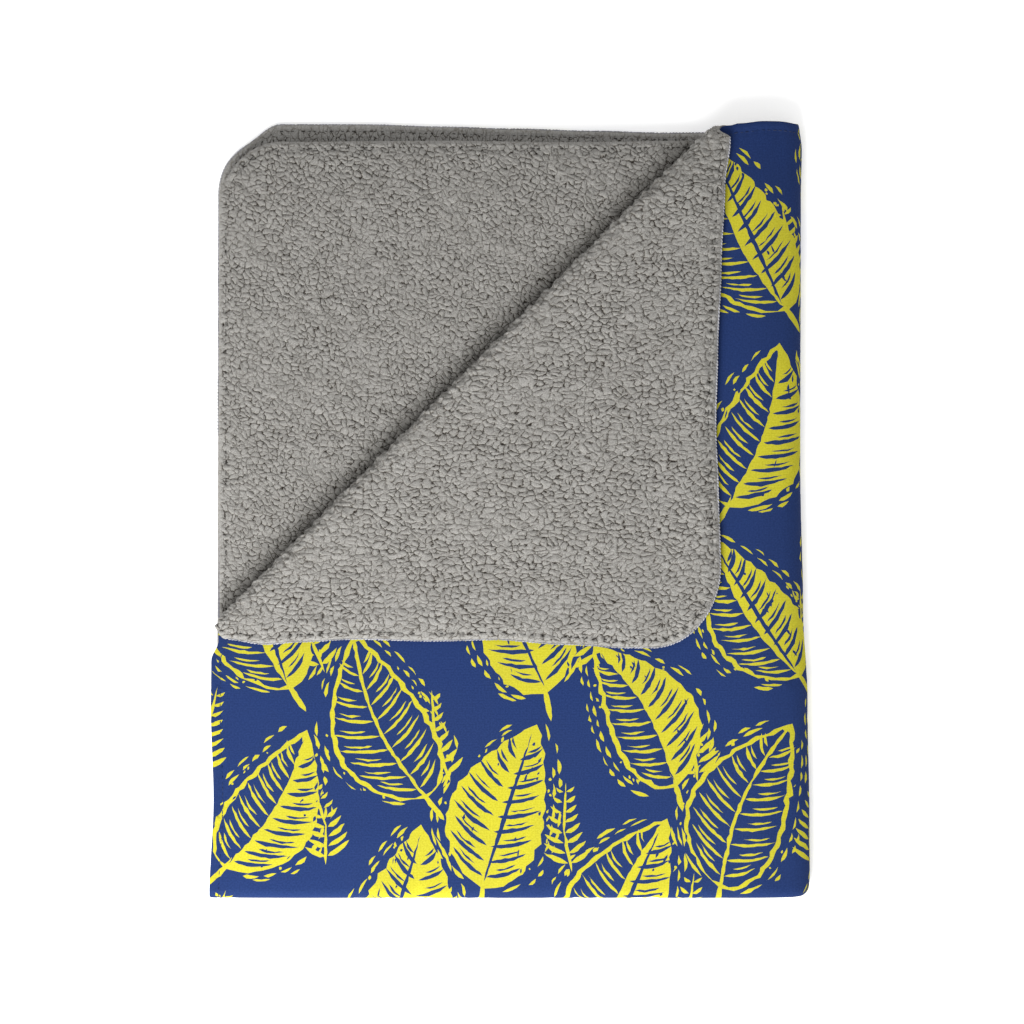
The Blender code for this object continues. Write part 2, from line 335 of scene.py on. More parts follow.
def hem_corner(centre, quarter, inset, out_s, out_v, step):
    radius = HEM_CORNER_RADIUS - inset
    count = max(6, round(math.pi / 2 * radius / step))
    angle = math.pi / 2 * (quarter + np.linspace(0, 1, count + 1))
    radius = radius - drawn_in(*centre, angle)
    s = centre[0] + radius * np.cos(angle) + out_s * np.abs(np.cos(angle))
    v = centre[1] + radius * np.sin(angle) + out_v * np.abs(np.sin(angle))
    return np.stack([s, v], axis=1)


def outline(inset, step):
    """The blanket's outline at an inset, counter-clockwise from the right hem."""
    half = FLAT_WIDTH / 2
    side, low, high = straight_ends()
    v = np.linspace(low, high, round((high - low) / step) + 1)[1:-1]
    s = np.linspace(-side, side, round(2 * side / step) + 1)[1:-1]
    hems = (
        np.stack([half - inset + along(RIGHT_HEM, v), v], axis=1),
        np.stack([s, FRONT_LENGTH - inset + along(FRONT_HEM, s)], axis=1)[::-1],
        np.stack([inset - half - along(LEFT_HEM, v), v], axis=1)[::-1],
        np.stack([s, inset - BACK_LENGTH - along(BACK_HEM, s)], axis=1),
    )
    corners = (
        ((side, high), along(RIGHT_HEM, high), along(FRONT_HEM, side)),
        ((-side, high), -along(LEFT_HEM, high), along(FRONT_HEM, -side)),
        ((-side, low), -along(LEFT_HEM, low), -along(BACK_HEM, -side)),
        ((side, low), along(RIGHT_HEM, low), -along(BACK_HEM, side)),
    )
    parts = []
    for quarter, (centre, out_s, out_v) in enumerate(corners):
        parts.append(hems[quarter])
        parts.append(hem_corner(centre, quarter, inset, out_s, out_v, step))
    return np.concatenate(parts)


def inset_of(s, v):
    """How far flat points lie inside the hem."""
    side, low, high = straight_ends()
    inner_v = np.clip(v, low, high)
    inner_s = np.clip(s, -side, side)
    out_s = np.where(s < 0, along(LEFT_HEM, inner_v), along(RIGHT_HEM, inner_v))
    out_v = np.where(v > 0, along(FRONT_HEM, inner_s), along(BACK_HEM, inner_s))
    over_s = np.abs(s) - side
    over_v = np.where(v > 0, v - high, low - v)
    straight = np.minimum(HEM_CORNER_RADIUS + out_s - over_s, HEM_CORNER_RADIUS + out_v - over_v)
    scale_s = HEM_CORNER_RADIUS / (HEM_CORNER_RADIUS + out_s)
    scale_v = HEM_CORNER_RADIUS / (HEM_CORNER_RADIUS + out_v)
    corner = HEM_CORNER_RADIUS - np.hypot(over_s * scale_s, over_v * scale_v)
    corner = corner - drawn_in(s, v, np.arctan2(over_v, over_s))
    return np.where((over_s > 0) & (over_v > 0), corner, straight)


def section(table, inset):
    rows = np.array(table)
    return np.interp(inset, rows[:, 0], rows[:, 1])


def pucker(s, v, inset, seam):
    """The dents that the topstitching draws in along the hems."""
    hem_length = np.where(np.abs(s) / FLAT_WIDTH > np.abs(v) / FLAT_HEIGHT, v, s)
    phase = hem_length * 2 * math.pi / PUCKER_PITCH
    uneven = 0.6 + 0.4 * np.sin(hem_length * 2 * math.pi / UNEVEN_PITCH + UNEVEN_START)
    return PUCKER_DEPTH * bell(inset - seam, PUCKER_REACH) * uneven * np.cos(phase)


def lattice(low, high, step):
    """Points of a triangular lattice over a rectangle."""
    rows = np.arange(low[1], high[1], step * math.sqrt(3) / 2)
    columns = np.arange(low[0], high[0], step)
    s, v = np.meshgrid(columns, rows)
    s = s + (np.arange(len(rows)) % 2)[:, None] * step / 2
    return np.stack([s.ravel(), v.ravel()], axis=1)


def grid(s, v):
    s, v = np.meshgrid(s, v)
    return np.stack([s.ravel(), v.ravel()], axis=1)


def lengths_along(line):
    return np.concatenate([[0.0], np.cumsum(np.linalg.norm(np.diff(line, axis=0), axis=1))])


def at_lengths(line, lengths, places):
    return np.stack([np.interp(places, lengths, line[:, axis]) for axis in (0, 1)], axis=-1)


def resample(line, step):
    """Points evenly along an open line, with its two ends."""
    lengths = lengths_along(line)
    places = np.linspace(0, lengths[-1], max(2, round(lengths[-1] / step) + 1))
    return at_lengths(line, lengths, places)


def triangulate(ring, inside, edges=()):
    """Flat triangles over a closed ring and points inside it. The ring's points come first."""
    points = np.concatenate([ring, inside])
    count = len(ring)
    loop = [(here, (here + 1) % count) for here in range(count)]
    made, _, faces, sources, _, _ = delaunay_2d_cdt(
        points.tolist(), loop + [tuple(edge) for edge in edges], [], 1, 1e-7
    )
    made = np.array([(point[0], point[1]) for point in made])
    found = np.full(len(points), -1)
    for index, source in enumerate(sources):
        found[list(source)] = index
    order = found[:count]
    rest = np.setdiff1d(np.arange(len(made)), order)
    order = np.concatenate([order, rest])
    renumber = np.empty(len(made), dtype=int)
    renumber[order] = np.arange(len(made))
    return made[order], renumber[np.array(faces)]


def add_mesh(name, points, faces):
    mesh = bpy.data.meshes.new(name)
    mesh.from_pydata(points.tolist(), [], faces)
    mesh.update()
    obj = bpy.data.objects.new(name, mesh)
    bpy.context.scene.collection.objects.link(obj)
    mesh.shade_smooth()
    return obj


def attribute(obj, name, kind, values, domain="POINT"):
    layer = obj.data.attributes.new(name, kind, domain)
    layer.data.foreach_set("vector" if kind == "FLOAT_VECTOR" else "value", np.ravel(values))


def slab(name, count, outer_faces, inner_faces, above, below, outward):
    """A closed piece between two placed faces that share their first points, the ring.

    outward is 1 where the outer face looks along w and -1 where it looks against it.
    """
    start = len(above)
    turned = slice(None, None, outward)
    faces = outer_faces[:, turned].tolist() + (inner_faces[:, turned][:, ::-1] + start).tolist()
    for here in range(count):
        there = (here + 1) % count
        faces.append([there, here, start + here, start + there][turned])
    obj = add_mesh(name, np.concatenate([above, below]), faces)
    edges = np.empty(len(obj.data.edges) * 2, dtype=int)
    obj.data.edges.foreach_get("vertices", edges)
    first, second = edges.reshape(-1, 2).T
    around = np.abs(first - second)
    on_outer = (first < count) & (second < count)
    on_inner = (first >= start) & (second >= start) & (first < start + count) & (second < start + count)
    sharp = (on_outer | on_inner) & ((around == 1) | (around == count - 1))
    attribute(obj, "sharp_edge", "BOOLEAN", sharp, "EDGE")
    return obj


def turn_points(past, run):
    """Flat points in rows past the turned corner's line, run along it."""
    past, run = (part.ravel() for part in np.meshgrid(past, run))
    s = (run - past) / math.sqrt(2) - TURN_LINE / 2
    v = (run + past) / math.sqrt(2) + TURN_LINE / 2
    return np.stack([s, v], axis=1)


def fold_points(step):
    """Flat points in rows through both folds and the turned corner."""
    v_rows = np.linspace(-REACH_1, REACH_1, FOLD_1_ROWS + 1)
    s_rows = np.linspace(-REACH_2, REACH_2, FOLD_2_ROWS + 1)
    across = np.arange(-FLAT_WIDTH / 2, FLAT_WIDTH / 2, step)
    across = across[np.abs(across) > REACH_2 + SPARE]
    up = np.arange(-FLAT_HEIGHT / 2, FLAT_HEIGHT / 2, step)
    up = up[np.abs(up) > REACH_1 + SPARE]
    past = np.linspace(-TURN_MARGIN, TURN_LENGTH + TURN_MARGIN, TURN_ROWS + 1)
    turned = turn_points(past, np.arange(-TURN_RUN, TURN_RUN, step * 0.8))
    turned = turned[(turned[:, 0] < -REACH_2) & (turned[:, 1] > REACH_1)]
    return np.concatenate([grid(s_rows, v_rows), grid(across, v_rows), grid(s_rows, up), turned])


def in_bands(flat, spare):
    """True where flat points lie in a fold's band or in the turned corner's bend."""
    s, v = flat.T
    past = past_turn(s, v)
    bend = (past > -TURN_MARGIN - spare) & (past < TURN_LENGTH + TURN_MARGIN + spare)
    turned = (s < 0) & (v > 0) & bend
    return (np.abs(v) < REACH_1 + spare) | (np.abs(s) < REACH_2 + spare) | turned


def cloth_points(step, rows):
    """Points inside the whole outline: hem rows, fold rows and a lattice."""
    hems = [outline(inset, HEM_STEP) for inset in rows]
    low, high = (-FLAT_WIDTH / 2, -FLAT_HEIGHT / 2), (FLAT_WIDTH / 2, FLAT_HEIGHT / 2)
    plain = lattice(low, high, step)
    plain = plain[~in_bands(plain, step / 2)]
    inside = np.concatenate([plain, fold_points(step)])
    inside = inside[inset_of(*inside.T) > rows[-1] + HEM_CLEAR]
    return np.concatenate(hems + [inside])


class Graph:
    """Adds nodes to a tree, shader or geometry, and joins them."""

    def __init__(self, tree):
        self.tree = tree

    def node(self, kind, inputs=None, **settings):
        made = self.tree.nodes.new(kind)
        for key, value in settings.items():
            setattr(made, key, value)
        self.feed(made, inputs or {})
        return made

    def feed(self, node, inputs):
        for key, value in inputs.items():
            if isinstance(value, bpy.types.NodeSocket):
                self.tree.links.new(value, node.inputs[key])
            else:
                node.inputs[key].default_value = value

    def math(self, operation, *values):
        return self.node("ShaderNodeMath", dict(enumerate(values)), operation=operation).outputs[0]

    def times(self, first, second):
        return self.math("MULTIPLY", first, second)

    def vector(self, operation, *values):
        made = self.node("ShaderNodeVectorMath", operation=operation)
        self.feed(made, dict(enumerate(values)))
        return made.outputs[0]

    def scaled(self, vector, factor):
        inputs = {0: vector, "Scale": factor}
        return self.node("ShaderNodeVectorMath", inputs, operation="SCALE").outputs[0]

    def ramp(self, value, low, high, start=0.0, end=1.0):
        inputs = {"Value": value, "From Min": low, "From Max": high, "To Min": start, "To Max": end}
        made = self.node("ShaderNodeMapRange", inputs, interpolation_type="SMOOTHSTEP")
        return made.outputs["Result"]

    def noise(self, at, scale, detail=2.0, roughness=0.5, output="Fac"):
        inputs = {"Vector": at, "Scale": scale, "Detail": detail, "Roughness": roughness}
        made = self.node("ShaderNodeTexNoise", inputs, noise_dimensions="2D")
        return made.outputs[output]

    def voronoi(self, at, scale, feature, output="Distance"):
        inputs = {"Vector": at, "Scale": scale, "Randomness": 1.0}
        made = self.node("ShaderNodeTexVoronoi", inputs, voronoi_dimensions="2D", feature=feature)
        return made.outputs[output]

    def mix(self, factor, start, end):
        made = self.node("ShaderNodeMix", data_type="RGBA", blend_type="MIX")
        self.feed(made, {0: factor, 6: start, 7: end})
        return made.outputs[2]

    def stored(self, name, output="Fac"):
        """What a shader reads from an attribute of the mesh."""
        return self.node("ShaderNodeAttribute", attribute_name=name).outputs[output]

    def named(self, name, kind="FLOAT"):
        """What geometry nodes read from an attribute of the mesh."""
        made = self.node("GeometryNodeInputNamedAttribute", {"Name": name}, data_type=kind)
        return made.outputs[0]


def curl_field(graph, at):
    """The pile's relief over coordinates in curl widths: cracks (0 to 1), plates (0 to 1), their lift."""
    bent = at
    for scale, reach in CURL_BENDS:
        shake = graph.noise(at, scale, 1.0, output="Color")
        shake = graph.vector("SUBTRACT", shake, (0.5, 0.5, 0.5))
        bent = graph.vector("ADD", bent, graph.scaled(shake, reach))
    edge = graph.voronoi(bent, 1.0, "DISTANCE_TO_EDGE")
    fine_edge = graph.voronoi(bent, FINE_CURLS, "DISTANCE_TO_EDGE")
    lift = graph.voronoi(bent, 1.0, "F1", "Color")
    patch = graph.ramp(graph.noise(at, 0.13, 1.0), 0.32, 0.58, 0.70, 1.0)
    strength = graph.ramp(graph.noise(at, 1.3, 1.0), 0.31, 0.57, 0.24, 1.15)
    strength = graph.times(strength, patch)
    fine_strength = graph.ramp(graph.noise(at, 0.9, 1.0), 0.42, 0.66, 0.05, 0.60)
    main = graph.times(graph.ramp(edge, 0.012, 0.082, 1.0, 0.0), strength)
    fine = graph.times(graph.ramp(fine_edge, 0.01, 0.08, 1.0, 0.0), fine_strength)
    crack = graph.math("MAXIMUM", main, fine)
    plate = graph.times(graph.ramp(edge, 0.0, 0.20, 1.0, 0.0), strength)
    fine_plate = graph.times(graph.ramp(fine_edge, 0.0, 0.20, 0.40, 0.0), fine_strength)
    return crack, graph.math("MAXIMUM", plate, fine_plate), lift


def curl_relief():
    """Geometry nodes that sink the cracks between the curls and lift each curl a little."""
    tree = bpy.data.node_groups.new("curl_relief", "GeometryNodeTree")
    for way in ("INPUT", "OUTPUT"):
        tree.interface.new_socket("Geometry", in_out=way, socket_type="NodeSocketGeometry")
    graph = Graph(tree)
    start = graph.node("NodeGroupInput")
    end = graph.node("NodeGroupOutput")
    at = graph.named("curl_at", "FLOAT_VECTOR")
    _, plate, lift = curl_field(graph, at)
    lift_up = graph.node("ShaderNodeSeparateXYZ", {0: lift}).outputs[0]
    height = graph.math("MULTIPLY_ADD", plate, -CRACK_DEPTH, graph.times(lift_up, PLATE_RISE))
    billow = graph.math("SUBTRACT", graph.noise(at, 0.42, 1.0), 0.5)
    height = graph.math("MULTIPLY_ADD", billow, BILLOW, height)
    lumps = graph.math("SUBTRACT", graph.noise(at, 0.80, 2.0), 0.5)
    lumps = graph.times(lumps, graph.times(graph.named("roll"), ROLL_LUMPS))
    height = graph.math("ADD", height, lumps)
    height = graph.times(height, graph.named("curl_mask"))
    offset = graph.scaled(graph.node("GeometryNodeInputNormal").outputs[0], height)
    moved = graph.node("GeometryNodeSetPosition", {"Geometry": start.outputs[0], "Offset": offset})
    tree.links.new(moved.outputs[0], end.inputs[0])
    return tree


def relieve(obj, tree):
    """Runs the curls' relief on a piece and keeps the result as its mesh."""
    obj.modifiers.new("curls", "NODES").node_group = tree
    depsgraph = bpy.context.evaluated_depsgraph_get()
    made = bpy.data.meshes.new_from_object(obj.evaluated_get(depsgraph))
    obj.modifiers.clear()
    obj.data = made


def slid(points, distance):
    """Flat points moved at right angles to the turned corner's line."""
    s, v = points.T
    step = distance / math.sqrt(2)
    return np.stack([s - step, v + step], axis=1)


def surface_to_flat(points, flap):
    """From lengths over the pile's outer face, which is longer round the flap's roll, to the flat cloth."""
    if not flap:
        return points
    over = past_turn(*points.T)
    past = np.where(over < BEND_END, over / LONGER, over - TURN_LENGTH * (LONGER - 1))
    return slid(points, np.where(over < 0, over, past) - over)


def flat_to_surface(points, flap):
    if not flap:
        return points
    past = past_turn(*points.T)
    over = np.where(past < TURN_LENGTH, past * LONGER, past + TURN_LENGTH * (LONGER - 1))
    return slid(points, np.where(past < 0, past, over) - past)


def in_corner(s, v, front, cut):
    """True past a left corner's cut line: the turned flap's in front, the bared layer's behind it."""
    up = v if front else -v
    return (s < 0) & (up > 0) & (past_turn(s, up) > cut)


def rolled_to_start(kept, *parts):
    """Rings, rolled so that they begin where the stretch that is kept begins."""
    start = int(np.flatnonzero(kept & ~np.roll(kept, 1))[0])
    return [np.roll(part, -start, axis=0) for part in parts]


def corner_hem(front, cut):
    """The hem round one left corner, from the cut line to the cut line again, as a fine flat line."""
    line = outline(0.0, HEM_FINE_STEP)
    kept = in_corner(*line.T, front, cut)
    return rolled_to_start(kept, line)[0][: int(kept.sum())]


def pile_outside(flat, pucker_share=1.0):
    """The pile's outer face, placed, with the hem's section and puckers."""
    inset = inset_of(*flat.T)
    dents = pucker(*flat.T, inset, PILE_SEAM_INSET) * pucker_share
    return on_cloth(flat, -section(PILE_SECTION, inset) - dents)


def pile_inside(flat):
    return on_cloth(flat, np.full(len(flat), -PANEL_GAP / 2))


def with_bend(coarse):
    """The flap's coarse inner points, with close rows through the bend in place of those there."""
    bend_rows = np.linspace(0, BEND_END, TURN_ROWS + 1)
    bend = turn_points(bend_rows, np.arange(-BEND_RUN, BEND_RUN, BEND_STEP))
    bend = bend[inset_of(*surface_to_flat(bend, True).T) > BEND_INSET]
    past = past_turn(*coarse.T)
    coarse = coarse[(past < -BEND_CLEAR) | (past > BEND_END + BEND_CLEAR)]
    return np.concatenate([coarse, bend])


def corner_pile(name, front, cut, tree):
    """The dense pile of one left corner: the turned flap in front, or the bared inside behind it."""
    hem = resample(flat_to_surface(corner_hem(front, cut), front), DENSE_STEP)
    base = resample(np.stack([hem[-1], hem[0]]), DENSE_STEP)[1:-1]
    ring = np.concatenate([hem, base])

    def inside(step, spare):
        points = lattice(ring.min(axis=0), ring.max(axis=0), step)
        s, v = surface_to_flat(points, front).T
        return points[(inset_of(s, v) > spare) & in_corner(s, v, front, cut + spare)]

    outer, outer_faces = triangulate(ring, inside(DENSE_STEP, DENSE_STEP * 0.6))
    coarse = inside(COARSE_STEP, COARSE_STEP * 0.4)
    inner, inner_faces = triangulate(ring, with_bend(coarse) if front else coarse)
    flat = surface_to_flat(outer, front)
    above = pile_outside(flat, PILE_PUCKER if front else BARED_PUCKER)
    below = pile_inside(surface_to_flat(inner, front))
    obj = slab(name, len(ring), outer_faces, inner_faces, above, below, -1)

    mirror = (1, 1) if front else (1, -1)
    inset = inset_of(*flat.T)
    past = past_turn(*(flat * mirror).T)
    over = past_turn(*(outer * mirror).T)
    mask = ease((inset - CURLS_FROM) / CURLS_GROW) * ease((past - cut) / CUT_GROW)
    if front:
        roll_and_crease_shade = bell(over - TURN_LENGTH * ROLL_PLACE, ROLL_REACH)
    else:
        # beside the crease the bared layer gets painted shade: below nought, the share darkens its colour
        # and strengthens its cracks
        roll_and_crease_shade = -CREASE_SHADE_SHARE * bell(over - TURN_LENGTH, CREASE_SHADE_REACH)
    dress_pile(obj, outer * mirror, mask, inset, front, roll_and_crease_shade)
    relieve(obj, tree)
    return obj


def dress_pile(obj, surface, mask, inset, flap, roll_and_crease_shade=0.0, rim_width=RIM_WIDTH):
    """Stores where each point lies among the curls, how deep they are there, how near hem and roll, and how
    much painted shade lies beside the crease.
    """
    count, outer = len(obj.data.vertices), len(surface)
    s, v = surface.T
    at = np.zeros((count, 3))
    if flap:
        at[:outer, 0] = v / CURL_WIDE
        at[:outer, 1] = s / CURL_HIGH
    else:
        turn = math.radians(BARED_CURL_TURN)
        across = s * math.cos(turn) + v * math.sin(turn)
        upward = v * math.cos(turn) - s * math.sin(turn)
        at[:outer, 0] = across / BARED_CURL_WIDE + BARED_CURL_START
        at[:outer, 1] = upward / BARED_CURL_HIGH
    attribute(obj, "curl_at", "FLOAT_VECTOR", at)
    rim = np.clip(inset / rim_width, 0, 1)
    for name, outside, inside in (("curl_mask", mask, 0), ("rim", rim, 1), ("roll", roll_and_crease_shade, 0)):
        values = np.full(count, float(inside))
        values[:outer] = outside
        attribute(obj, name, "FLOAT", values)


def rest_ring():
    """The sherpa panel's outline without its two left corners, which have dense pieces of their own."""
    line = outline(0.0, HEM_STEP)
    flap = in_corner(*line.T, True, FLAP_CUT)
    bared = in_corner(*line.T, False, INSIDE_CUT)
    line, flap, bared = rolled_to_start(flap, line, flap, bared)
    cuts = []
    for front, cut in ((True, FLAP_CUT), (False, INSIDE_CUT)):
        hem = corner_hem(front, cut)
        cuts.append(resample(np.stack([hem[0], hem[-1]]), HEM_STEP))
    bared_places = np.flatnonzero(bared)
    left = line[np.flatnonzero(~flap)[0] : bared_places[0]]
    others = line[bared_places[-1] + 1 :]
    return np.concatenate([cuts[0], left, cuts[1], others])


def rest_pile(tree):
    """The rest of the sherpa panel: under the flap's root, through the folds and all the lower layers."""
    ring = rest_ring()

    def kept(points):
        flap = in_corner(*points.T, True, FLAP_CUT - CUT_MARGIN)
        bared = in_corner(*points.T, False, INSIDE_CUT - CUT_MARGIN)
        return points[~(flap | bared)]

    outer, outer_faces = triangulate(ring, kept(cloth_points(LATTICE, HEM_ROWS)))
    inner, inner_faces = triangulate(ring, kept(cloth_points(COARSE_STEP, HEM_ROWS[-1:])))
    above, below = pile_outside(outer), pile_inside(inner)
    obj = slab("sherpa_rest", len(ring), outer_faces, inner_faces, above, below, -1)
    inset = inset_of(*outer.T)
    fade = 1 - ease((inset - LOWER_TO) / LOWER_FADE)
    mask = LOWER_CURLS * ease((inset - LOWER_FROM) / LOWER_GROW) * fade
    dress_pile(obj, outer, mask, inset, True, rim_width=LOWER_RIM_WIDTH)
    relieve(obj, tree)
    return obj


# The print: a block-printed repeat of big leaves, fern sprigs and knife marks
SOLID, IN_LINE, HALF = 0, 1, 2
LINED_SIDES = {SOLID: (), IN_LINE: (1, -1), HALF: (1,)}
LEAF_LENGTH = 0.116
LEAF_WIDTH = 0.066
LEAF_ACROSS = 0.0775
LEAF_UP = 0.1239
LEAF_LEANS = (-24, 17, -31, 24, -18, 29)
LEAF_BOWS = (0.007, -0.009, 0.010)
LEAF_SCALES = (1.0, 0.90, 0.96)
LEAF_KINDS = (SOLID, HALF, IN_LINE, SOLID, HALF, HALF, IN_LINE)
TOOTH_DEPTH = 0.0016
TEETH = 10
STEM_WIDTH = 0.0036
VEINS = 9
VEIN_PITCH = 0.088
VEIN_WIDTH = 0.0027
DRAWN_VEIN_WIDTH = 0.0020
FINE_VEIN_WIDTH = 0.0013
OUTLINE_WIDTH = 0.0030
RIB_WIDTH = 0.0026
RIB_GAP = 0.0011
LEAST_HOLLOW = 0.0012
SPRIG_LENGTH = 0.060
SPRIG_PAIRS = 8
SPRIG_REACH = 0.0155
LEAFLET_WIDTH = 0.0034
#   rows of marks round a leaf: distance from it and share of marks left out
ECHOES = ((0.0046, 0.15), (0.0088, 0.40))
EDGE_WOBBLE = 0.00034
EDGE_POINT = 0.0028
PRINT_MARGIN = 0.0003
HALVINGS = 12
# The half below the first fold shows nowhere, so it stays plain blue from this height down
HIDDEN_PRINT = -0.012
chance = np.random.default_rng(11)


def wobbled(points, amount=EDGE_WOBBLE):
    return points + chance.normal(0, amount, points.shape)


def gouge(start, end, width, bow=0.0):
    """A pointed cut from start to end, widest at a third, as a knife leaves it."""
    start, end = np.array(start), np.array(end)
    run = end - start
    length = float(np.linalg.norm(run))
    sideways = np.array([-run[1], run[0]]) / max(length, 1e-9)
    count = max(3, round(length / EDGE_POINT))
    place = np.linspace(0, 1, count + 1)[1:-1]
    half = width / 2 * np.sin(math.pi * place**0.8) ** 0.7
    middle = start + run * place[:, None] + sideways * (bow * np.sin(math.pi * place))[:, None]
    left = wobbled(middle + sideways * half[:, None], EDGE_WOBBLE * 0.6)
    right = wobbled(middle - sideways * half[:, None], EDGE_WOBBLE * 0.6)
    return np.concatenate([[start], left, [end], right[::-1]])


def leaf_frame(base, turn, length, bow):
    """A function from a place along the leaf and a distance beside its rib to flat points."""
    forward = np.array([math.cos(turn), math.sin(turn)])
    sideways = np.array([-forward[1], forward[0]])

    def at(place, beside):
        place = np.asarray(place, dtype=float)[..., None]
        beside = np.asarray(beside, dtype=float)[..., None]
        bowed = bow * np.sin(math.pi * place)
        return np.array(base) + forward * (length * place) + sideways * (bowed + beside)

    return at


def half_width(place, width):
    return width / 2 * np.sin(math.pi * np.clip(place, 0, 1) ** 0.72) ** 0.80


def leaf_outline(at, place, half):
    sides = wobbled(at(place, half)), wobbled(at(place, -half))[::-1]
    return np.concatenate([[at(0.0, 0.0)], sides[0], [at(1.0, 0.0)], sides[1]])


def hollow(at, place, rim, side):
    """The ground seen inside a leaf that is drawn in line, on one side of its rib."""
    good = rim > LEAST_HOLLOW
    outer = at(place[good], side * rim[good])
    inner = at(place[good], side * RIB_GAP)[::-1]
    return wobbled(np.concatenate([outer, inner]))


def flecks(at, width, count, inner, outer, size):
    """Small knife marks beside a leaf's rib, between two shares of its half width."""
    marks = []
    for _ in range(count):
        place = chance.uniform(0.08, 0.90)
        beside = chance.uniform(inner, outer) * float(half_width(place, width)) * chance.choice((-1, 1))
        long = chance.uniform(*size)
        start = at(place, beside)
        tilt = chance.uniform(-0.35, 0.35)
        end = start + (at(place + 0.1, beside) - start) * (long / 0.0116) + (0, long * tilt)
        marks.append(gouge(start, end, chance.uniform(0.0008, 0.0019)))
    return marks


def leaf(base, turn, length, width, bow, kind):
    """A leaf as three lists of outlines: inked, then cut away, then inked again."""
    at = leaf_frame(base, turn, length, bow)
    place = np.linspace(0, 1, round(length / EDGE_POINT) + 1)[1:-1]
    teeth = TOOTH_DEPTH * np.abs(((place * TEETH) % 1) - 0.5) * 2
    half = half_width(place, width) - teeth
    stem = gouge(at(0.0, 0.0) - (at(0.1, 0.0) - at(0.0, 0.0)) * 1.5, at(0.06, 0.0), STEM_WIDTH)
    inked, cut, drawn = [leaf_outline(at, place, half), stem], [], []
    cut.extend(hollow(at, place, half - OUTLINE_WIDTH, side) for side in LINED_SIDES[kind])
    if kind != IN_LINE:
        cut.append(gouge(at(0.04, 0.0), at(0.94, 0.0), RIB_WIDTH))
        cut.extend(flecks(at, width, 16, 0.35, 0.95, (0.0016, 0.0060)))
    for number in range(VEINS):
        from_place = 0.07 + VEIN_PITCH * number
        for side in (1, -1):
            reach = float(half_width(from_place + 0.08, width)) * chance.uniform(0.80, 0.92)
            lined = side in LINED_SIDES[kind]
            veins = drawn if lined else cut
            start, end = at(from_place, side * 0.0012), at(from_place + 0.11, side * reach)
            vein_width = DRAWN_VEIN_WIDTH if lined else VEIN_WIDTH
            veins.append(gouge(start, end, vein_width, side * 0.0015))
            start = at(from_place + 0.055, side * reach * 0.30)
            end = at(from_place + 0.12, side * reach * 0.85)
            veins.append(gouge(start, end, FINE_VEIN_WIDTH, side * 0.0010))
    return inked, cut, drawn


def dashes_round(base, turn, length, width, bow):
    """Short knife marks that echo a leaf's outline on the ground."""
    at = leaf_frame(base, turn, length, bow)
    marks = flecks(at, width, 14, 1.02, 1.12, (0.0014, 0.0040))
    for row, (distance, skipped) in enumerate(ECHOES):
        for side in (1, -1):
            place = 0.02 + 0.01 * row
            while place < 0.94:
                step = chance.uniform(0.060, 0.130)
                if chance.random() > skipped:
                    places = (place, place + step * 0.74)
                    ends = [at(p, side * (float(half_width(p, width)) + distance)) for p in places]
                    marks.append(gouge(ends[0], ends[1], chance.uniform(0.0012, 0.0024), side * 0.0006))
                place += step
    return marks


def sprig(base, turn, length, bow):
    """A fern sprig: a thin stem with pairs of pointed leaflets that get shorter to its tip."""
    at = leaf_frame(base, turn, length, bow)
    marks = [gouge(at(0.0, 0.0), at(0.5, 0.0), 0.0021), gouge(at(0.44, 0.0), at(1.0, 0.0), 0.0018)]
    for number in range(SPRIG_PAIRS):
        place = 0.10 + 0.80 * number / (SPRIG_PAIRS - 1)
        reach = SPRIG_REACH * (1 - 0.70 * place)
        for side in (1, -1):
            start = at(place, side * 0.0009)
            end = at(place + 0.55 * reach / length, side * reach)
            marks.append(gouge(start, end, LEAFLET_WIDTH * (1 - 0.4 * place), side * 0.0008))
    return marks


def print_design():
    """Every leaf and mark of the print over the whole flat cloth."""
    leaves, marks = [], []
    columns = round(FLAT_WIDTH / LEAF_ACROSS) + 2
    rows = round(FLAT_HEIGHT / LEAF_UP) + 2
    for column in range(-1, columns):
        for row in range(-2, rows):
            drop = LEAF_UP / 2 if column % 2 else 0.0
            middle_s = -FLAT_WIDTH / 2 + (column + 0.5) * LEAF_ACROSS + chance.uniform(-0.004, 0.004)
            middle_v = -FLAT_HEIGHT / 2 + (row + 0.5) * LEAF_UP + drop + chance.uniform(-0.005, 0.005)
            lean = LEAF_LEANS[(column + 2 * row) % len(LEAF_LEANS)]
            turn = math.radians(90 + abs(lean) * (1 if (column + row) % 2 else -1))
            scale = LEAF_SCALES[(2 * column + row) % 3]
            size = (LEAF_LENGTH * scale, LEAF_WIDTH * scale)
            base = (middle_s - size[0] / 2 * math.cos(turn), middle_v - size[0] / 2 * math.sin(turn))
            bow = LEAF_BOWS[(column + row) % 3]
            leaves.append(leaf(base, turn, *size, bow, LEAF_KINDS[(column + 3 * row) % len(LEAF_KINDS)]))
            marks.extend(dashes_round(base, turn, *size, bow))
            root = (middle_s + LEAF_ACROSS * 0.50, middle_v - LEAF_UP * 0.34)
            marks.extend(sprig(root, math.radians(chance.uniform(70, 110)), SPRIG_LENGTH * scale, bow / 2))
    return leaves, marks


def inside_shape(shape, points):
    """True where points lie inside a closed outline."""
    hit = np.zeros(len(points), dtype=bool)
    x, y = points.T
    for (ax, ay), (bx, by) in zip(shape, np.roll(shape, -1, axis=0)):
        crosses = (ay > y) != (by > y)
        if crosses.any():
            at = ax + (y - ay) * (bx - ax) / (by - ay)
            hit ^= crosses & (x < at)
    return hit


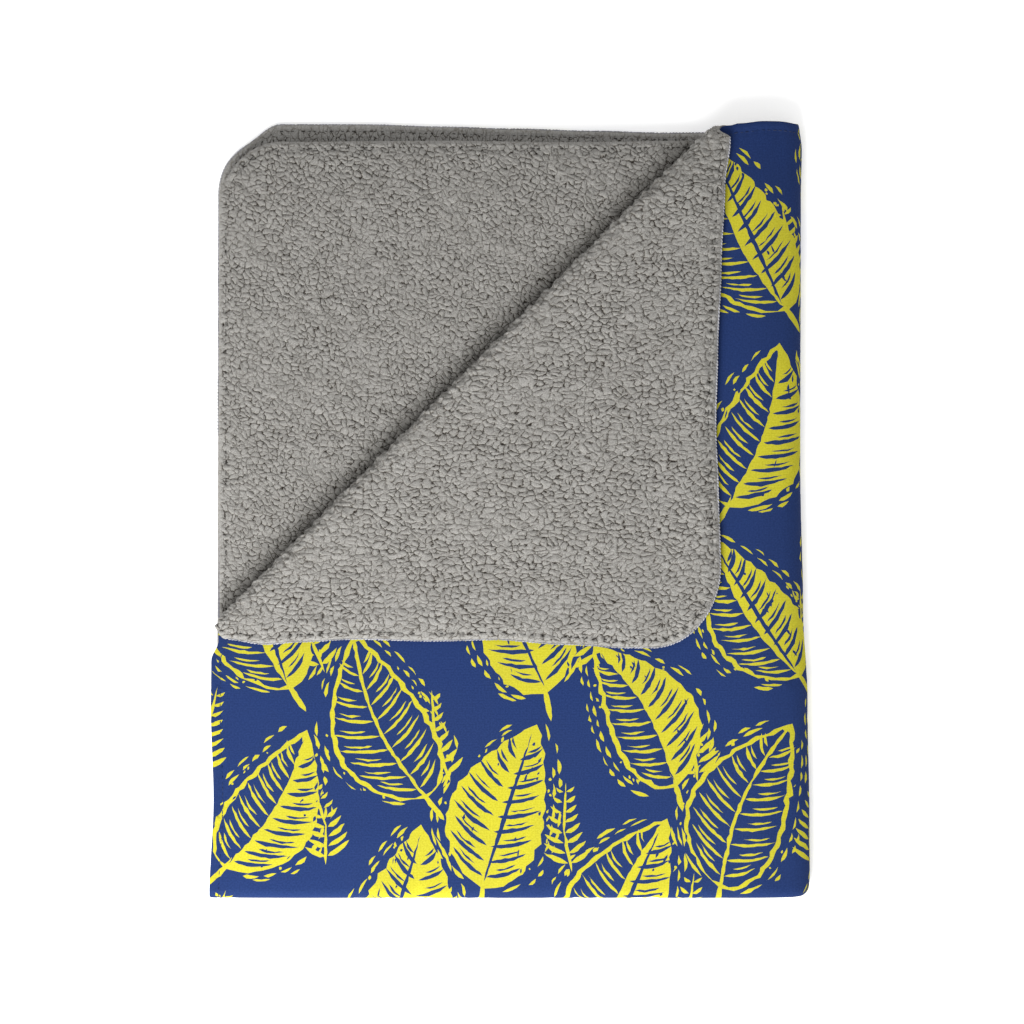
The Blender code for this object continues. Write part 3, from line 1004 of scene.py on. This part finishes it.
def inked_faces(centres, leaves, marks):
    """Which faces are yellow: in a mark, or in a leaf and not cut away, or drawn in line inside one."""
    order = np.argsort(centres[:, 0])
    ranked = centres[order, 0]
    yellow = np.zeros(len(centres), dtype=bool)

    def colour_in(shapes, inked):
        for shape in shapes:
            low, high = shape.min(axis=0), shape.max(axis=0)
            first, last = np.searchsorted(ranked, (low[0], high[0]))
            near = order[first:last]
            near = near[(centres[near, 1] > low[1]) & (centres[near, 1] < high[1])]
            yellow[near[inside_shape(shape, centres[near])]] = inked

    colour_in(marks, True)
    for inked, cut, drawn in leaves:
        colour_in(inked, True)
        colour_in(cut, False)
        colour_in(drawn, True)
    return yellow


def clipped(ends, first_good):
    """An edge's two ends, with the one that lies past the hem drawn back to it."""
    kept, lost = ends if first_good else ends[::-1]
    for _ in range(HALVINGS):
        middle = (kept + lost) / 2
        if inset_of(*middle[:, None])[0] > PRINT_MARGIN:
            kept = middle
        else:
            lost = middle
    return [ends[0], kept] if first_good else [kept, ends[1]]


def print_edges(shapes):
    """The shapes' points and edges, clipped just inside the hem."""
    points, edges = [], []
    for shape in shapes:
        inside = inset_of(*shape.T) > PRINT_MARGIN
        if not inside.any() or shape[:, 1].max() < HIDDEN_PRINT:
            continue
        for here in range(len(shape)):
            there = (here + 1) % len(shape)
            ends = [shape[here], shape[there]]
            if not (inside[here] or inside[there]):
                continue
            if not (inside[here] and inside[there]):
                ends = clipped(ends, inside[here])
            edges.append((len(points), len(points) + 1))
            points.extend(ends)
    return np.array(points), edges


def printed_panel():
    """The whole printed face, cut along the print's outlines."""
    ring = outline(0.0, HEM_STEP)
    leaves, marks = print_design()
    marks = [mark for mark in marks if mark[:, 1].max() > HIDDEN_PRINT]
    leaves = [parts for parts in leaves if parts[0][0][:, 1].max() > HIDDEN_PRINT]
    shapes = marks + [shape for parts in leaves for part in parts for shape in part]
    drawn, edges = print_edges(shapes)
    plain = cloth_points(PRINT_LATTICE, HEM_ROWS)
    offset = len(ring) + len(plain)
    edges = [(a + offset, b + offset) for a, b in edges]
    outer, outer_faces = triangulate(ring, np.concatenate([plain, drawn]), edges)
    inner, inner_faces = triangulate(ring, cloth_points(COARSE_STEP, HEM_ROWS[-1:]))
    inset = inset_of(*outer.T)
    above = on_cloth(outer, section(PRINT_SECTION, inset) + pucker(*outer.T, inset, SEAM_INSET))
    below = on_cloth(inner, np.full(len(inner), PANEL_GAP / 2))
    obj = slab("printed_plush", len(ring), outer_faces, inner_faces, above, below, 1)
    centres = outer[outer_faces].mean(axis=1)
    yellow = np.zeros(len(obj.data.polygons))
    yellow[: len(centres)] = inked_faces(centres, leaves, marks)
    attribute(obj, "ink", "FLOAT", yellow, "FACE")
    at = np.zeros((len(obj.data.vertices), 3))
    at[:, :2] = np.concatenate([outer, inner])
    attribute(obj, "flat_at", "FLOAT_VECTOR", at)
    return obj


# Sewing: thread radius, stitch length and the pitch between stitches
TOPSTITCH = (0.00030, 0.0027, 0.0036)
EDGE_THREAD = (0.00050, 0.0025, 0.0021)
#   along each stitch: places, rise and thickness, as shares
STITCH_PLACES = np.array([0.0, 0.18, 0.5, 0.82, 1.0])
STITCH_RISE = np.array([0.0, 0.75, 1.0, 0.75, 0.0])
STITCH_THICKNESS = np.array([0.45, 0.95, 1.0, 0.95, 0.45])
#   how unevenly the stitches are placed, and how their length and thickness vary
STITCH_SHIFT = 0.10
STITCH_LENGTHS = (0.88, 1.08)
STITCH_PLUMPS = (0.72, 1.08)
STITCH_LINE_STEP = 0.0005
STITCH_AHEAD = 0.0004
STITCH_ABOVE = 0.0002
THREAD_SIDES = 6
#   heights of a stitch's ends and middle, out of the cloth's middle
EDGE_HEIGHTS = (-0.0004, -0.0012)
PILE_HEIGHTS = (-0.0022, -0.0029)
PRINT_HEIGHTS = (0.0006, 0.00105)
#   the edge thread slants and lies tucked in, but for the turned flap and the lowest layer's top hem
EDGE_INSET = -0.0001
EDGE_SLANT = 0.0008
EDGE_TUCK = 0.0010
FLAP_ABOVE = 0.05
FLAP_FROM = 0.008
LOWEST_ABOVE = 0.30
LOWEST_FROM = 0.02
LOWEST_GROW = 0.03
LOWEST_OUT = 0.8


def unit(vectors):
    return vectors / np.maximum(np.linalg.norm(vectors, axis=-1, keepdims=True), 1e-9)


def tubes(name, middle, above, thick):
    """One closed round tube along each row of points. above lies over middle, thick is the radius."""
    count, rows = thick.shape
    steps = np.arange(rows)
    run = unit(middle[:, np.minimum(steps + 1, rows - 1)] - middle[:, np.maximum(steps - 1, 0)])
    across = unit(np.cross(run, above - middle))
    up = np.cross(across, run)
    angles = np.arange(THREAD_SIDES) * 2 * math.pi / THREAD_SIDES
    ring = np.cos(angles)[:, None] * across[:, :, None] + np.sin(angles)[:, None] * up[:, :, None]
    points = (middle[:, :, None] + ring * thick[:, :, None, None]).reshape(-1, 3)
    faces = []
    for number in range(count):
        first = number * rows * THREAD_SIDES
        last = first + (rows - 1) * THREAD_SIDES
        for start in range(first, last, THREAD_SIDES):
            for side in range(THREAD_SIDES):
                here = start + side
                there = start + (side + 1) % THREAD_SIDES
                faces.append([here, there, there + THREAD_SIDES, here + THREAD_SIDES])
        faces.append(list(range(first, first + THREAD_SIDES))[::-1])
        faces.append(list(range(last, last + THREAD_SIDES)))
    return add_mesh(name, points, faces)


def standing_out(flat):
    """Where a tucked thread stands out, 0 to 1: the turned flap and the lowest layer's top hem."""
    s, v = flat[..., 0], flat[..., 1]
    on_flap = (v > FLAP_ABOVE) * (s < 0) * ease((past_turn(s, v) - FLAP_FROM) / FLAP_FROM)
    on_lowest = (v > LOWEST_ABOVE) * ease((s - LOWEST_FROM) / LOWEST_GROW)
    return np.maximum(on_flap, on_lowest * LOWEST_OUT)


def thread_along(name, inset, stitch, heights, slant=0.0, tucked=0.0):
    """Stitches along the hem as one mesh. heights are the ends' and the middle's w.

    Where it doesn't stand out, a thread with a tucked length lies that far inside the hem.
    """
    radius, length, pitch = stitch
    line = outline(inset, STITCH_LINE_STEP)
    line = np.concatenate([line, line[:1]])
    lengths = lengths_along(line)
    count = int(lengths[-1] / pitch)
    uneven = np.random.default_rng(5)
    shift = uneven.uniform(-STITCH_SHIFT, STITCH_SHIFT, count)
    starts = (np.arange(count) + shift) * lengths[-1] / count
    spans = length * uneven.uniform(*STITCH_LENGTHS, count)
    plump = uneven.uniform(*STITCH_PLUMPS, count)
    places = (starts[:, None] + spans[:, None] * STITCH_PLACES) % lengths[-1]
    flat = at_lengths(line, lengths, places)
    ahead = unit(at_lengths(line, lengths, places + STITCH_AHEAD) - flat)
    beside = np.stack([ahead[..., 1], -ahead[..., 0]], axis=-1)
    flat = flat + beside * (slant * (STITCH_PLACES - 0.5))[None, :, None]
    low, high = heights
    w = low + (high - low) * STITCH_RISE[None, :] + np.zeros(places.shape)
    if tucked:
        out = standing_out(flat)
        flat = flat + beside * (-tucked * (1 - out))[..., None]
        w = w * out
    middle = on_cloth(flat.reshape(-1, 2), w.ravel()).reshape(*w.shape, 3)
    above = on_cloth(flat.reshape(-1, 2), w.ravel() + STITCH_ABOVE).reshape(*w.shape, 3)
    return tubes(name, middle, above, plump[:, None] * (STITCH_THICKNESS * radius))


# Colours, as linear light
WOOL_DARK = (0.167, 0.162, 0.151)
WOOL_LIGHT = (0.306, 0.298, 0.280)
WOOL_PALE = (0.335, 0.327, 0.310, 1)
WOOL_BLOTCH = (0.135, 0.128, 0.115, 1)
# painted light on the hem band, lifting it out of the shade of the layer above
WOOL_RIM_PAINTED_LIGHT = (0.330, 0.323, 0.312, 1)
# painted shade round each curl's edge, where it rounds down into the cracks
WOOL_CURL_EDGE_SHADE = (0.150, 0.122, 0.086, 1)
# painted shade on the bared layer beside the turned flap's crease
WOOL_CREASE_SHADE = (0.090, 0.085, 0.075, 1)
# painted shade in the cracks between the curls
WOOL_CRACK_SHADE = (0.0145, 0.0100, 0.0065, 1)
BLUES = ((0.0090, 0.0220, 0.084, 1), (0.0125, 0.0285, 0.103, 1))
YELLOWS = ((0.375, 0.342, 0.0178, 1), (0.434, 0.400, 0.0258, 1))
PRINT_CLOUD = (0.02, 0.03, 0.06, 1)
EDGE_THREAD_COLOUR = (0.41, 0.41, 0.44, 1)
PRINT_THREAD_COLOUR = (0.012, 0.030, 0.110, 1)
PILE_THREAD_COLOUR = (0.040, 0.036, 0.032, 1)
THREAD_SHADE = (0.05, 0.05, 0.05, 1)
WHITE = (1, 1, 1, 1)
#     how light the pile is, as a share, on the two shown layers and on the lower ones' hems; the hems'
#     share is painted light, lifting them out of the shade of the layers above
SHOWN_LIGHTNESS = 1.04
LOWER_HEMS_PAINTED_LIGHT = 1.25


def new_material(name):
    material = bpy.data.materials.new(name)
    material.use_nodes = True
    tree = material.node_tree
    return material, Graph(tree), tree.nodes["Principled BSDF"]


def times_colour(colour, share):
    return tuple(part * share for part in colour[:3]) + (1,)


def roll_cracks(graph, at):
    """The long cracks of the curls that lie stretched over the roll."""
    shake = graph.scaled(graph.noise(at, 0.8, 2.0, output="Color"), 0.7)
    long_at = graph.vector("ADD", graph.vector("MULTIPLY", at, (0.40, 0.72, 1.0)), shake)
    crack = graph.ramp(graph.voronoi(long_at, 1.0, "DISTANCE_TO_EDGE"), 0.006, 0.036, 1.0, 0.0)
    return graph.times(crack, graph.ramp(graph.noise(at, 0.6, 1.0), 0.40, 0.60))


def sherpa_material(name, lightness):
    material, graph, shader = new_material(name)
    at = graph.stored("curl_at", "Vector")
    rim = graph.stored("rim")
    roll = graph.stored("roll")
    crack, plate, lift = curl_field(graph, at)
    # Over the flap's roll the cracks grow weaker; beside the bared layer's crease, where the share is below
    # nought, they grow stronger, as painted shade
    crack = graph.times(crack, graph.math("MULTIPLY_ADD", roll, -0.75, 1.0))
    crack = graph.math("MAXIMUM", crack, graph.times(roll_cracks(graph, at), roll))
    open_crack = graph.times(crack, graph.ramp(rim, 0.03, 0.22, 0.15, 1.0))
    tone = graph.node("ShaderNodeSeparateColor", {0: lift}).outputs[1]
    wool = graph.noise(at, 5.5, 3.0, 0.65)
    fine = graph.noise(at, 13.0, 2.0, 0.6)
    blotch = graph.noise(at, 0.22, 2.0)
    dark, light = times_colour(WOOL_DARK, lightness), times_colour(WOOL_LIGHT, lightness)
    colour = graph.mix(graph.ramp(wool, 0.30, 0.70), dark, light)
    layers = (
        (graph.times(tone, 0.16), WOOL_PALE),
        (graph.ramp(blotch, 0.35, 0.65, 0.0, 0.16), WOOL_BLOTCH),
        # painted light on the hem band
        (graph.ramp(rim, 0.02, 0.42, 0.18, 0.0), WOOL_RIM_PAINTED_LIGHT),
        # painted shade round each curl's edge
        (graph.times(plate, 0.34), WOOL_CURL_EDGE_SHADE),
        # painted shade beside the crease
        (graph.ramp(roll, -CREASE_SHADE_SHARE, 0.0, 0.42, 0.0), WOOL_CREASE_SHADE),
        # painted shade in the cracks
        (graph.math("MINIMUM", open_crack, 0.95), WOOL_CRACK_SHADE),
    )
    for share, over in layers:
        colour = graph.mix(share, colour, over)
    height = graph.math("MULTIPLY_ADD", wool, 0.34, graph.times(fine, 0.20))
    height = graph.math("SUBTRACT", height, graph.times(plate, 0.12))
    height = graph.math("SUBTRACT", height, graph.times(crack, 0.30))
    bump = graph.node("ShaderNodeBump", {"Height": height, "Distance": 0.0011, "Strength": 0.80})
    looks = {"Roughness": 0.95, "Specular IOR Level": 0.15, "Sheen Weight": 0.12}
    looks.update({"Sheen Roughness": 0.55, "Sheen Tint": (0.9, 0.9, 0.9, 1)})
    graph.feed(shader, {"Base Color": colour, "Normal": bump.outputs[0], **looks})
    return material


def plush_material():
    material, graph, shader = new_material("printed_plush")
    at = graph.stored("flat_at", "Vector")
    nap = graph.noise(at, 900.0, 2.0, 0.6)
    cloud = graph.noise(at, 22.0, 3.0, 0.55)
    blue = graph.mix(graph.ramp(nap, 0.3, 0.7), *BLUES)
    yellow = graph.mix(graph.ramp(nap, 0.3, 0.7), *YELLOWS)
    colour = graph.mix(graph.stored("ink"), blue, yellow)
    colour = graph.mix(graph.ramp(cloud, 0.35, 0.70, 0.0, 0.07), colour, PRINT_CLOUD)
    waves = []
    for scale, direction in ((330.0, "X"), (300.0, "Y")):
        inputs = {"Vector": at, "Scale": scale, "Distortion": 1.2}
        waves.append(graph.node("ShaderNodeTexWave", inputs, bands_direction=direction).outputs["Fac"])
    height = graph.math("MULTIPLY_ADD", nap, 0.8, graph.times(graph.times(*waves), 0.5))
    bump = graph.node("ShaderNodeBump", {"Height": height, "Distance": 0.00022, "Strength": 0.6})
    looks = {"Roughness": 0.82, "Specular IOR Level": 0.08}
    graph.feed(shader, {"Base Color": colour, "Normal": bump.outputs[0], **looks})
    return material


def thread_material(name, colour):
    material, graph, shader = new_material(name)
    at = graph.node("ShaderNodeTexCoord").outputs["Object"]
    ply = graph.ramp(graph.noise(at, 900.0, 1.0), 0.35, 0.65)
    patch = graph.ramp(graph.noise(at, 55.0, 2.0), 0.35, 0.62, 0.40, 0.0)
    mixed = graph.mix(ply, times_colour(colour, 0.7), colour)
    mixed = graph.mix(patch, mixed, THREAD_SHADE)
    graph.feed(shader, {"Base Color": mixed, "Roughness": 0.75, "Specular IOR Level": 0.1})
    return material


# The studio: a white floor that glows a little, even light from all round and one wide lamp
FLOOR_SIZE = 14
FLOOR_HEIGHT = -0.0002
FLOOR_COLOUR = (0.86, 0.86, 0.86, 1)
FLOOR_GLOW = 0.38
ROUND_LIGHT = 0.72
KEY_SIZE = 0.95
KEY_POWER = 29
KEY_PLACE = (-0.36, -0.88, 0.82)


def floor_and_light():
    bpy.ops.mesh.primitive_plane_add(size=FLOOR_SIZE, location=(0, 0, FLOOR_HEIGHT))
    floor = bpy.context.object
    floor.name = "studio_floor"
    material, graph, shader = new_material("floor_white")
    glow = {"Emission Color": WHITE, "Emission Strength": FLOOR_GLOW}
    graph.feed(shader, {"Base Color": FLOOR_COLOUR, "Roughness": 0.9, **glow})
    floor.data.materials.append(material)
    scene = bpy.context.scene
    scene.world = bpy.data.worlds.new("studio")
    scene.world.use_nodes = True
    tree = scene.world.node_tree
    Graph(tree).feed(tree.nodes["Background"], {"Color": WHITE, "Strength": ROUND_LIGHT})
    lamp = bpy.data.lights.new("key", "AREA")
    lamp.shape = "DISK"
    lamp.size = KEY_SIZE
    lamp.energy = KEY_POWER
    key = bpy.data.objects.new("key", lamp)
    key.location = KEY_PLACE
    key.rotation_euler = (-key.location).to_track_quat("-Z", "Y").to_euler()
    scene.collection.objects.link(key)
    scene.view_settings.view_transform = "Standard"


# The photograph is taken from straight above, and its middle lies a little off the blanket's
PIXEL = 0.000645
FRAME = 1024
LENS = 200.0
SENSOR = 36.0
MIDDLE_PIXEL = (510.0, 509.7)
FOCUS_HEIGHT = 0.022


def add_camera():
    data = bpy.data.cameras.new("camera")
    data.lens = LENS
    data.sensor_width = SENSOR
    distance = FRAME * PIXEL * LENS / SENSOR
    camera = bpy.data.objects.new("camera", data)
    off_x = (FRAME / 2 - MIDDLE_PIXEL[0]) * PIXEL
    off_y = (MIDDLE_PIXEL[1] - FRAME / 2) * PIXEL
    camera.location = (off_x, off_y, FOCUS_HEIGHT + distance)
    data.clip_end = 30
    bpy.context.scene.collection.objects.link(camera)
    bpy.context.scene.camera = camera


def finish_piece(obj, material, node):
    obj.data.materials.clear()
    obj.data.materials.append(material)
    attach(obj, "root")
    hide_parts(node)


def centre(pieces, sewn):
    """Shifts the pieces as the solids were shifted, so that their middle is over the origin."""
    low = np.min([np.array(piece.bound_box).min(axis=0) for piece in pieces], axis=0)
    high = np.max([np.array(piece.bound_box).max(axis=0) for piece in pieces], axis=0)
    middle = (low + high) / 2
    for piece in pieces + sewn:
        points = np.empty(len(piece.data.vertices) * 3)
        piece.data.vertices.foreach_get("co", points)
        points = points.reshape(-1, 3) - (middle[0], middle[1], 0)
        piece.data.vertices.foreach_set("co", points.ravel())
        piece.data.update()


add_camera()
floor_and_light()
relief = curl_relief()
plush = printed_panel()
flap = corner_pile("sherpa_flap", True, FLAP_CUT, relief)
bared = corner_pile("sherpa_inside", False, INSIDE_CUT, relief)
rest = rest_pile(relief)
edge_thread = thread_along("edge_thread", EDGE_INSET, EDGE_THREAD, EDGE_HEIGHTS, EDGE_SLANT, EDGE_TUCK)
pile_stitches = thread_along("pile_stitches", PILE_SEAM_INSET, TOPSTITCH, PILE_HEIGHTS)
print_stitches = thread_along("print_stitches", SEAM_INSET, TOPSTITCH, PRINT_HEIGHTS)
centre([plush, flap, bared, rest], [edge_thread, pile_stitches, print_stitches])

sherpa_look = sherpa_material("sherpa_pile", SHOWN_LIGHTNESS)
# the lower layers' hems: a lighter copy of the pile, as painted light
hem_painted_light_look = sherpa_material("sherpa_hems_painted_light", LOWER_HEMS_PAINTED_LIGHT)
finish_piece(plush, plush_material(), "printed_face")
finish_piece(rest, hem_painted_light_look, "sherpa_back")
for piece in (flap, bared):
    finish_piece(piece, sherpa_look, "sherpa_back")
for thread, colour, slot, node in (
    (edge_thread, EDGE_THREAD_COLOUR, "printed_plush", "printed_face"),
    (print_stitches, PRINT_THREAD_COLOUR, "printed_plush", "printed_face"),
    (pile_stitches, PILE_THREAD_COLOUR, "sherpa_pile", "sherpa_back"),
):
    finish_piece(thread, thread_material(thread.name, colour), node)
